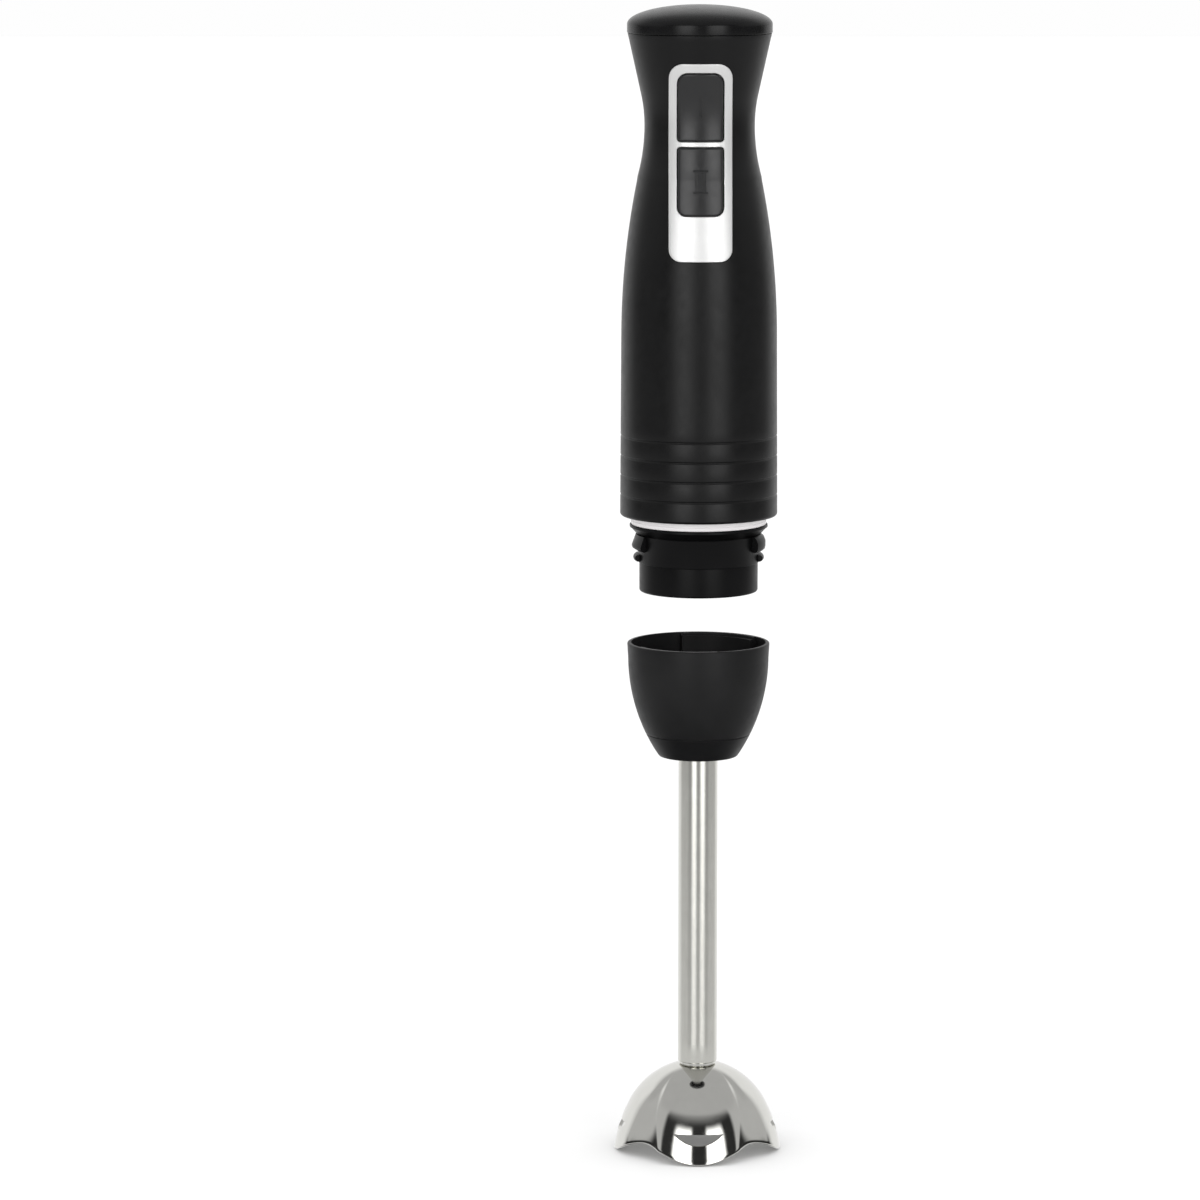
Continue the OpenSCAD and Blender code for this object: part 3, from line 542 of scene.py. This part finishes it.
def front_hole(spec, mouth, chamfer, depth, grow=0.0):
    """A cutter for an opening in the handle's front, flared where it meets the surface at mouth."""
    wide = panel_outline(*spec, grow=grow + chamfer)
    wider = panel_outline(*spec, grow=grow + chamfer + 1)
    straight = panel_outline(*spec, grow=grow)
    rings = [on_front(towards_spine(wider, t), mouth + 1) for t in (0, 0.5, 1)]
    rings += [on_front(wide, mouth), on_front(straight, mouth - chamfer)]
    rings += [on_front(towards_spine(straight, t), -depth) for t in (1, 0.5, 0)]
    return grid("hole", rings, closed_columns=False)


BEZEL = (24.5, low("button_bezel").z, high("button_bezel").z, 5.5, 4.7)
BUTTON_GAP = 0.35
OPENING_W = 18.2
UPPER_OPENING = (OPENING_W, 400.5, 427.1, 4.1, 1.4)
LOWER_OPENING = (OPENING_W, 372.2, 398.6, 1.4, 3.5)
UPPER_POCKET, LOWER_POCKET = 20.6, 22.7
BEZEL_RISE, BUTTON_RISE = 0.35, 0.6
CASE_SCREWS = [(-16, 341), (16, 341), (-15, 430), (15, 430)]
SCREW_PIT_R, GLAND_SEAT_R, CORD_Z = 3.2, 6.7, 428.0
OUTSIDE = 34  # past every wall of the handle
INLET_W, INLET_H, INLET_LOW, INLET_HIGH, INLET_ROWS = 22, 1.8, 352, 365.5, 4
OUTLET_H, OUTLET_ARC = 0.6, 18
BEZEL_SEAT, OPENING_DEPTH = 0.97, 7

front = half_shell("front_shell_skin", 180)
cut(front, front_hole(BEZEL, 0, 0.2, BEZEL_SEAT, grow=0.06))
cut(front, *[front_hole(o, -0.9, 0.01, OPENING_DEPTH) for o in (UPPER_OPENING, LOWER_OPENING)])
place(front, "handle", "body_black", MATERIALS["body_black"], "front_shell")

rear = half_shell("rear_shell_skin", 0)
screw_pits = [rod_y("pit", SCREW_PIT_R, x, z, 3, OUTSIDE) for x, z in CASE_SCREWS]
gland_seat = rod_y("seat", GLAND_SEAT_R, 0, CORD_Z, 10, OUTSIDE)
inlets = [
    prism("inlet", panel_outline(INLET_W, z, z + INLET_H, 0.85, 0.85), 20, OUTSIDE)
    for z in span(INLET_LOW, INLET_HIGH, INLET_ROWS - 1)
]
outlets = [
    sector("outlet", box_outline(27, 32, z - OUTLET_H, z + OUTLET_H), a, OUTLET_ARC)
    for z in GROOVES
    for a in (66, 90, 114)
]
cut(rear, *screw_pits, gland_seat, *inlets, *outlets)
place(rear, "handle", "body_black", MATERIALS["body_black"], "rear_shell")

# Top cap: a chamfered band under an elliptical dome
CAP_LOW, CAP_TOP, CAP_R = 441.5, high("top_cap").z, high("top_cap").x
BAND_TOP = 444.8
SPIGOT_IN, SPIGOT_OUT, SPIGOT_LOW = 22.7, 24.3, 437
CAP_EDGE = 0.3
cap_loop = [(SPIGOT_IN, SPIGOT_LOW), (SPIGOT_OUT, SPIGOT_LOW), (SPIGOT_OUT, CAP_LOW)]
cap_loop += [(CAP_R - CAP_EDGE - 0.05, CAP_LOW)]
cap_loop += arc(CAP_R - CAP_EDGE, CAP_LOW + CAP_EDGE, CAP_EDGE, -80, 0, 5)
cap_loop += [
    (CAP_R * cos(radians(a)), BAND_TOP + (CAP_TOP - BAND_TOP) * sin(radians(a))) for a in span(0, 90, 40)
]
cap_loop += [(0, CAP_TOP - 2), (CAP_R - 6, 446), (SPIGOT_IN, 443)]
cap = lathe("top_cap_skin", cap_loop)
place(cap, "handle", "cap_black", MATERIALS["cap_black"], "top_cap")

# Bezel and buttons
bezel = front_plate("button_bezel_skin", BEZEL, BEZEL_RISE, 0.93, 0.3)
cut(bezel, *[front_hole(o, BEZEL_RISE, 0.22, 4) for o in (UPPER_OPENING, LOWER_OPENING)])
place(bezel, "handle", "bezel_silver", MATERIALS["bezel_silver"], "button_bezel")

STROKE_DEPTH = 0.4


def stroke(x, z, width, height):
    """A shallow recess in a button's face, as a cutter that follows the handle's front."""
    half = width / 2
    corners = [(x - half, z - height / 2), (x + half, z - height / 2)]
    outline = corners + [(x + half, z + height / 2), (x - half, z + height / 2)]
    rings = [on_front(outline, BUTTON_RISE + out) for out in (1, -STROKE_DEPTH)]
    return grid("stroke", rings, closed_columns=False, cap_ends=True)


BUTTON_BACK, LIP_FRONT, LIP_W, LIP_H = 3.7, 2.45, 14.0, 0.7
POCKET_R, STEM_R, STEM_TIP = 4.4, 2.5, -11.75


def button(name, opening, pocket, strokes):
    """A button with the lips that keep it behind the shell, the stem, and the pocket for its spring."""
    middle = (opening[1] + opening[2]) / 2
    lips = (LIP_W, opening[1] - LIP_H, opening[2] + LIP_H, 0.3, 0.3)
    plate = front_plate(name + "_skin", opening, BUTTON_RISE, BUTTON_BACK, 0.7, grow=-BUTTON_GAP)
    join(plate, front_plate("lips", lips, -LIP_FRONT, BUTTON_BACK - 0.05, 0.05))
    cut(plate, rod_y("pocket", POCKET_R, 0, middle, -pocket - 0.05, -8))
    join(plate, rod_y("stem", STEM_R, 0, middle, -pocket - 0.5, STEM_TIP))
    cut(plate, *[stroke(x, middle + z, w, h) for x, z, w, h in strokes])
    return place(plate, name, "button_grey", MATERIALS["button_grey"], name)


STEM_W, STEM_H, SERIF_Z = 0.9, 7, 4.1
button("upper_button", UPPER_OPENING, UPPER_POCKET, [(0, 0, STEM_W, STEM_H)])
stems = [(side * 1.6, 0, STEM_W, 2 * SERIF_Z + 0.4) for side in (-1, 1)]
serifs = [(0, end * SERIF_Z, 5.6, 0.8) for end in (-1, 1)]
button("lower_button", LOWER_OPENING, LOWER_POCKET, stems + serifs)

# The springs are drawn as long as they are with the buttons in: the poses move them without squeezing them
SPRING_BACK, SPRING_SQUEEZE = -13.5, 1.6
SPRING_R, SPRING_WIRE, SPRING_TURNS = 3.4, 0.3, 4


def button_spring(node, opening, pocket):
    front_end = SPRING_SQUEEZE - pocket
    middle = (opening[1] + opening[2]) / 2
    coil = coil_y(node + "_skin", middle, front_end, SPRING_BACK, SPRING_R, SPRING_WIRE, SPRING_TURNS)
    place(coil, "handle", "plain_steel", MATERIALS["plain_steel"], node)


button_spring("upper_button_spring", UPPER_OPENING, UPPER_POCKET)
button_spring("lower_button_spring", LOWER_OPENING, LOWER_POCKET)

# Pale ring with a fine groove round its middle
RING_LOW, RING_HIGH, RING_R = low("collar_ring").z, high("collar_ring").z, high("collar_ring").x
ring_middle = (RING_LOW + RING_HIGH) / 2
ring_loop = [(NOSE_HOLE_R, RING_LOW)] + arc(RING_R - 0.3, RING_LOW + 0.3, 0.3, -90, 0, 4)
ring_loop += [(RING_R, ring_middle - 0.2), (RING_R - 0.15, ring_middle), (RING_R, ring_middle + 0.2)]
ring_loop += [(RING_R, RING_HIGH), (NOSE_HOLE_R, RING_HIGH)]
place(lathe("collar_ring_skin", ring_loop), "handle", "ring_white", MATERIALS["ring_white"], "collar_ring")

# ---------------------------------------------------------------- coupling

NOSE_LOW, NOSE_R = low("coupling_nose").z, 23.6
FLANGE_LOW, FLANGE_R = 246.3, 27.0
LUG_ARC, NUB_ARC = 58.0, 26.0
NOSE_STEP = 235.0
FLANGE_HIGH, NOSE_RIM_LOW, NOSE_RIM_HIGH = 250.1, 256.1, 258.6
NOSE_INNER_R, NOSE_RIM_IN, NOSE_RIM_OUT = 21.4, 21, 26
SOCKET_R, SOCKET_OUT_R, SOCKET_TOP, SHAFT_HOLE_R = 13, 15, 249.3, 3.2
nose_loop = [(SOCKET_R, NOSE_LOW)] + arc(NOSE_R - 1.3, NOSE_LOW + 0.9, 0.9, -90, 0, 8)
nose_loop += [(NOSE_R - 0.4, NOSE_STEP), (NOSE_R - 0.1, NOSE_STEP + 0.2), (NOSE_R, NOSE_STEP + 0.5)]
nose_loop += [(NOSE_R, FLANGE_LOW - 0.5), (NOSE_R + 0.2, FLANGE_LOW - 0.15), (NOSE_R + 0.6, FLANGE_LOW)]
nose_loop += [(FLANGE_R - 0.5, FLANGE_HIGH - 1.3), (FLANGE_R, FLANGE_HIGH - 1)]
nose_loop += [(FLANGE_R, FLANGE_HIGH - 0.2), (FLANGE_R - 0.2, FLANGE_HIGH)]
nose_loop += [(NOSE_R - 0.3, FLANGE_HIGH), (NOSE_R - 0.3, NOSE_RIM_LOW), (NOSE_RIM_OUT, NOSE_RIM_LOW)]
nose_loop += [(NOSE_RIM_OUT, NOSE_RIM_HIGH), (NOSE_RIM_IN, NOSE_RIM_HIGH), (NOSE_RIM_IN, FLANGE_HIGH)]
nose_loop += [(NOSE_INNER_R, 247.4), (NOSE_INNER_R, 226), (SOCKET_OUT_R, 226)]
nose_loop += [(SOCKET_OUT_R, SOCKET_TOP), (SHAFT_HOLE_R, SOCKET_TOP)]
nose_loop += [(SHAFT_HOLE_R, FLANGE_LOW), (SOCKET_R, FLANGE_LOW)]
nose = lathe("coupling_nose_skin", nose_loop)
NOSE_ROOT, LUG_R, LUG_TOP = NOSE_R - 1, 26.2, 246.2
FULL_LUG = [(NOSE_ROOT, 240.2), (25.2, 240), (26, 240.7), (LUG_R, 241.6), (LUG_R, 243.6), (25.6, 245.2)]
FULL_LUG += [(24.4, LUG_TOP), (NOSE_ROOT, LUG_TOP)]
THIN_LUG = [(NOSE_ROOT, 240.4), (24.6, 240.1), (26, 241), (LUG_R, 241.8), (25.8, 242.9), (24.6, LUG_TOP)]
THIN_LUG += [(NOSE_ROOT, LUG_TOP)]
NUB = [(NOSE_ROOT, 235.5)] + arc(24.3, 237, 1.3, -90, 90, 10) + [(NOSE_ROOT, 238.4)]
join(nose, *[sector("lug", section, at, LUG_ARC) for at, section in ((0, FULL_LUG), (180, THIN_LUG))])
join(nose, *[sector("nub", NUB, at, NUB_ARC) for at in (0, 180)])
place(nose, "handle", "nose_black", MATERIALS["nose_black"], "coupling_nose")

# ---------------------------------------------------------------- blending shaft

CUP_RIM, CUP_R = high("adapter_cup").z, 27.9
CUP_SPLIT, CUP_LOW = low("adapter_cup").z, low("cup_base").z
CUP_ARC_X, CUP_ARC_Z, CUP_ARC_R = -42.44, 197.5, 70.0
CUP_BORE_R, CUP_FLOOR, BOSS_TOP = 23.9, 177.3, 182.8
LOCK_TURN = 45.0


def cup_r(z):
    return CUP_ARC_X + sqrt(CUP_ARC_R**2 - (z - CUP_ARC_Z) ** 2)


cup_loop = [(18.6, CUP_SPLIT), (cup_r(CUP_SPLIT) - 0.25, CUP_SPLIT), (cup_r(167.25), 167.25)]
cup_loop += [(cup_r(z), z) for z in span(168, 197, 40)]
cup_loop += [(CUP_R, CUP_RIM - 0.6)] + arc(CUP_R - 0.6, CUP_RIM - 0.6, 0.6, 10, 90, 5)
cup_loop += [(25.8, CUP_RIM)] + arc(25.8, CUP_RIM - 0.3, 0.3, 90, 180, 3)
cup_loop += [(25.5, CUP_RIM - 1), (CUP_BORE_R, CUP_RIM - 1.2), (CUP_BORE_R, 181.4), (21.8, CUP_FLOOR)]
cup_loop += [(9.8, CUP_FLOOR), (9.5, CUP_FLOOR + 0.3), (9.5, BOSS_TOP - 0.4), (9.1, BOSS_TOP)]
cup_loop += [(5.52, BOSS_TOP), (5.52, 171.5), (cup_r(171.5) - 1.5, 171.5)]
cup = lathe("adapter_cup_skin", cup_loop)

LUG_SLACK = 1.2  # degrees on each side of a lug
PATH_IN, POCKET_OUT, TRACK_OUT, WAY_IN_OUT = 20, 26.45, 25.85, 25.95
POCKET_LOW, TRACK_LOW, TRACK_HIGH, WAY_IN_HIGH = 195.95, 191.35, 194.75, 197.1


def lug_path(at):
    """Cutters for the pocket, the track and the way in of one pair of lugs."""
    entry = LUG_ARC + 2 * LUG_SLACK
    middle, sweep = at - LOCK_TURN / 2, entry + LOCK_TURN
    pocket = sector("pocket", box_outline(PATH_IN, POCKET_OUT, POCKET_LOW, CUP_RIM + 1), middle, sweep)
    track = sector("track", box_outline(PATH_IN, TRACK_OUT, TRACK_LOW, TRACK_HIGH), middle, sweep + 0.4)
    gate = box_outline(PATH_IN, WAY_IN_OUT, TRACK_LOW - 0.1, WAY_IN_HIGH)
    return [pocket, track, sector("way_in", gate, at, entry + 1)]


cut(cup, *lug_path(0), *lug_path(180))
place(cup, "foot", "cup_black", MATERIALS["cup_black"], "adapter_cup")

base_loop = [(7.75, CUP_LOW), (14.9, CUP_LOW)] + arc(14.9, CUP_LOW + 0.9, 0.9, -90, -30, 4)
base_loop += [(cup_r(z), z) for z in span(159.4, CUP_SPLIT - 0.35, 12)]
base_loop += [(cup_r(CUP_SPLIT) - 0.3, CUP_SPLIT - 0.06), (18.5, CUP_SPLIT - 0.06), (18.5, 169.5)]
base_loop += [(17, 169.5), (17, 165.5), (14.2, 160.6), (7.75, 160.6)]
place(lathe("cup_base_skin", base_loop), "foot", "cup_black", MATERIALS["base_black"], "cup_base")

TUBE_LOW, TUBE_HIGH, TUBE_R = low("shaft_tube").z, high("shaft_tube").z, high("shaft_tube").x
tube_loop = [(TUBE_R - 0.7, TUBE_LOW + 0.3)] + arc(TUBE_R - 0.35, TUBE_LOW + 0.35, 0.35, 180, 360, 10)
tube_loop += [(TUBE_R, z) for z in span(TUBE_LOW + 8, TUBE_HIGH, 12)] + [(TUBE_R - 0.7, TUBE_HIGH)]
place(lathe("shaft_tube_skin", tube_loop), "foot", "tube_steel", MATERIALS["tube_steel"], "shaft_tube")

# Bell: two arcs from the rim to the neck. Between the four lobes the wall is pressed in and the rim
# arches up.
BELL_WALL = 1.2
DOME_R, DOME_Z = 30.4, 4.9
SKIRT_R, JOINT_A = 60.0, 27.0
SKIRT_X = -(SKIRT_R - DOME_R) * cos(radians(JOINT_A))
SKIRT_Z = DOME_Z - (SKIRT_R - DOME_R) * sin(radians(JOINT_A))
NECK_R, NECK_TOP, NECK_BORE = 6.9, 43.0, 5.6
ARCH_H, RIM_LIFT = 6.2, 0.58
LOBE_HALF, LOBE_ROOT, LOBE_TOP = 16.0, 15.0, 36.5
PRESS, CREASE = 0.7, 0.6
NECK_A = degrees(acos(NECK_R / DOME_R))


def bell_point(a, inset):
    """Radius and height where the wall's normal rises at the angle a, moved in by inset."""
    if a < JOINT_A:
        r = SKIRT_R - inset
        return SKIRT_X + r * cos(radians(a)), SKIRT_Z + r * sin(radians(a))
    r = DOME_R - inset
    return r * cos(radians(a)), DOME_Z + r * sin(radians(a))


def softly(u):
    """u where it is positive and nothing where it is negative, rounded in between."""
    return (u + hypot(u, CREASE)) / 2


def lobe_half(z):
    """Half of a lobe's width at a height: it narrows in an arch towards the neck."""
    up = min(max((z - LOBE_ROOT) / (LOBE_TOP - LOBE_ROOT), 0.0), 1.0)
    return LOBE_HALF * sqrt(1 - up * up)


def pressed(theta, r, z):
    """How far the wall is pressed in between two lobes."""
    u = softly(abs(r * cos(theta)) - lobe_half(z))
    v = softly(abs(r * sin(theta)) - lobe_half(z))
    rest = CREASE * CREASE / (4 * (LOBE_HALF + CREASE))
    ease = min(max((LOBE_TOP - z) / 6, 0.0), 1.0)
    return PRESS * ease * max(0.0, u * v / (u + v) - rest)


def bell_outline(angle):
    """The bell's closed outline at one angle round its axis."""
    theta = radians(angle)
    arch = ARCH_H * sin(2 * theta) ** 2
    start = degrees(asin((arch + RIM_LIFT - SKIRT_Z) / SKIRT_R))

    def wall(a, inset):
        r, z = bell_point(a, inset)
        return r - pressed(theta, r, z), z

    rise = [start + (NECK_A - start) * t for t in span(0, 1, 56)]
    outer = [wall(a, 0) for a in rise]
    inner = [wall(a, BELL_WALL) for a in reversed(rise)]
    (r0, z0), (r1, z1) = inner[-1], outer[0]
    rim = []
    for a in span(160, 20, 6):
        swing = radians(a)
        mid_r, mid_z = (r0 + r1) / 2, (z0 + z1) / 2
        half = hypot(r1 - r0, z1 - z0) / 2
        rim.append((mid_r + half * cos(swing), mid_z - 0.8 * half * sin(swing)))
    neck = [(NECK_R, NECK_TOP), (NECK_BORE, NECK_TOP)]
    return outer + neck + inner + rim


bell = lathe("bell_guard_skin", bell_outline, 360)
SLOT_W, SLOT_H, SLOT_TOP = 19.7, 4.4, 12.1
slot_r = (SLOT_W**2 / 4 + SLOT_H**2) / (2 * SLOT_H)
slot_a = degrees(asin(SLOT_W / 2 / slot_r))
slot_outline = arc(0, SLOT_TOP - SLOT_H + slot_r, slot_r, -90 - slot_a, -90 + slot_a, 24)
for quarter in range(4):
    slot = prism("slot", slot_outline, -40, -20)
    slot.data.transform(Matrix.Rotation(quarter * pi / 2, 4, "Z"))
    cut(bell, slot)
place(bell, "foot", "bell_steel", MATERIALS["bell_steel"], "bell_guard", sharp=38)

# ---------------------------------------------------------------- camera, light and stage

CAMERA_AT = Vector((-0.0386, -2.25, 0.5495))
CAMERA_PITCH = 8.337
LENS, SENSOR = 174.0, 36.0

camera_data = bpy.data.cameras.new("camera")
camera_data.lens = LENS
camera_data.sensor_width = SENSOR
camera_data.clip_end = 50
camera = bpy.data.objects.new("camera", camera_data)
camera.location = CAMERA_AT
camera.rotation_euler = (radians(90 - CAMERA_PITCH), 0, 0)
scene.collection.objects.link(camera)
scene.camera = camera
scene.view_settings.view_transform = "Standard"


def studio_world():
    """White where seen directly. Reflections show two soft boxes in a dark room, over a grey table."""
    world = bpy.data.worlds.new("studio")
    world.use_nodes = True
    scene.world = world
    tree = world.node_tree
    tree.nodes.clear()

    def math(operation, a, b=None, clamp=False):
        made = tree.nodes.new("ShaderNodeMath")
        made.operation = operation
        made.use_clamp = clamp
        for socket, value in zip(made.inputs, (a, b)):
            if value is None:
                continue
            if hasattr(value, "is_output"):
                tree.links.new(value, socket)
            else:
                socket.default_value = value
        return made.outputs[0]

    def step(value, start, end):
        """0 below start and 1 above end, both in degrees."""
        remap = tree.nodes.new("ShaderNodeMapRange")
        remap.interpolation_type = "SMOOTHSTEP"
        remap.inputs["From Min"].default_value = radians(start)
        remap.inputs["From Max"].default_value = radians(end)
        tree.links.new(value, remap.inputs["Value"])
        return remap.outputs["Result"]

    def lerp(factor, a, b):
        """a where the factor is 0 and b where it is 1."""
        return math("ADD", math("MULTIPLY", math("SUBTRACT", 1, factor), a), math("MULTIPLY", factor, b))

    split = tree.nodes.new("ShaderNodeSeparateXYZ")
    tree.links.new(tree.nodes.new("ShaderNodeTexCoord").outputs["Generated"], split.inputs[0])
    x, y, z = split.outputs
    azimuth = math("ARCTAN2", x, math("MULTIPLY", y, -1))
    aside = math("ABSOLUTE", math("SUBTRACT", azimuth, radians(BOX_AIM)))
    rise = math("ARCSINE", z)

    boxes = math("MULTIPLY", step(aside, *BOX_INNER), math("SUBTRACT", 1, step(aside, *BOX_OUTER)))
    back = step(aside, *BACK_START)

    # Above the horizon: the boxes, the dark room between and beside them, and the ceiling
    side = lerp(step(rise, *SIDE_RISE), DARK, lerp(step(aside, *SIDE_START), DARK, SIDE_LIGHT))
    room = lerp(step(rise, *CEILING_START), lerp(back, side, BACK_LIGHT), CEILING_LIGHT)
    boxes_high = math("MULTIPLY", boxes, math("SUBTRACT", 1, step(rise, *BOX_HIGH)))
    room = math("ADD", room, math("MULTIPLY", boxes_high, BOX_LIGHT))

    # Below it: the table, which takes on the boxes' stripes towards the horizon
    table = lerp(back, TABLE_LIGHT, BACK_LIGHT)
    striped = lerp(step(aside, *SIDE_START), TABLE_DARK, table)
    striped = math("ADD", striped, math("MULTIPLY", boxes, TABLE_BOX))
    table = lerp(step(rise, *TABLE_FADE), table, striped)
    table = lerp(step(rise, *UNDER), UNDER_LIGHT, table)
    studio = lerp(step(rise, *HORIZON), table, room)

    # Matt surfaces see even light from everywhere
    path = tree.nodes.new("ShaderNodeLightPath").outputs
    even = lerp(path["Is Diffuse Ray"], studio, EVEN_LIGHT)
    background = tree.nodes.new("ShaderNodeBackground")
    background.inputs["Strength"].default_value = 1
    tree.links.new(lerp(path["Is Camera Ray"], even, WHITE), background.inputs["Color"])
    tree.links.new(background.outputs[0], tree.nodes.new("ShaderNodeOutputWorld").inputs["Surface"])


WHITE = 0.99
EVEN_LIGHT = 1.25
DARK, SIDE_LIGHT, BACK_LIGHT, CEILING_LIGHT, BOX_LIGHT = 0.03, 0.55, 0.95, 0.5, 3.4
TABLE_LIGHT, TABLE_DARK, TABLE_BOX, UNDER_LIGHT = 0.72, 0.36, 0.3, 0.1
BOX_AIM = 2
BOX_INNER, BOX_OUTER, BOX_HIGH = (9, 15), (33, 42), (24, 34)
SIDE_START, SIDE_RISE, BACK_START = (56, 64), (-1, 5), (112, 132)
CEILING_START = (32, 46)
HORIZON, TABLE_FADE, UNDER = (-9.6, -8), (-14.5, -9.6), (-55, -30)
studio_world()

floor_shader = Shader("floor_white")
floor_shader.tint(floor_shader.mapped(floor_shader.noise(40), 0, 1), (0.80, 0.80, 0.80), (0.82, 0.82, 0.82))
floor_shader.set(Roughness=0.9, Specular_IOR_Level=0.0, Emission_Color=(1, 1, 1, 1), Emission_Strength=0.08)
FLOOR_R = 9000
FLOOR_Z = -0.05
corners = [(x * FLOOR_R, y * FLOOR_R, FLOOR_Z) for x, y in ((-1, -1), (1, -1), (1, 1), (-1, 1))]
floor = make("floor", corners, [(0, 1, 2, 3)])
floor.data.materials.append(floor_shader.material)
floor.visible_glossy = False
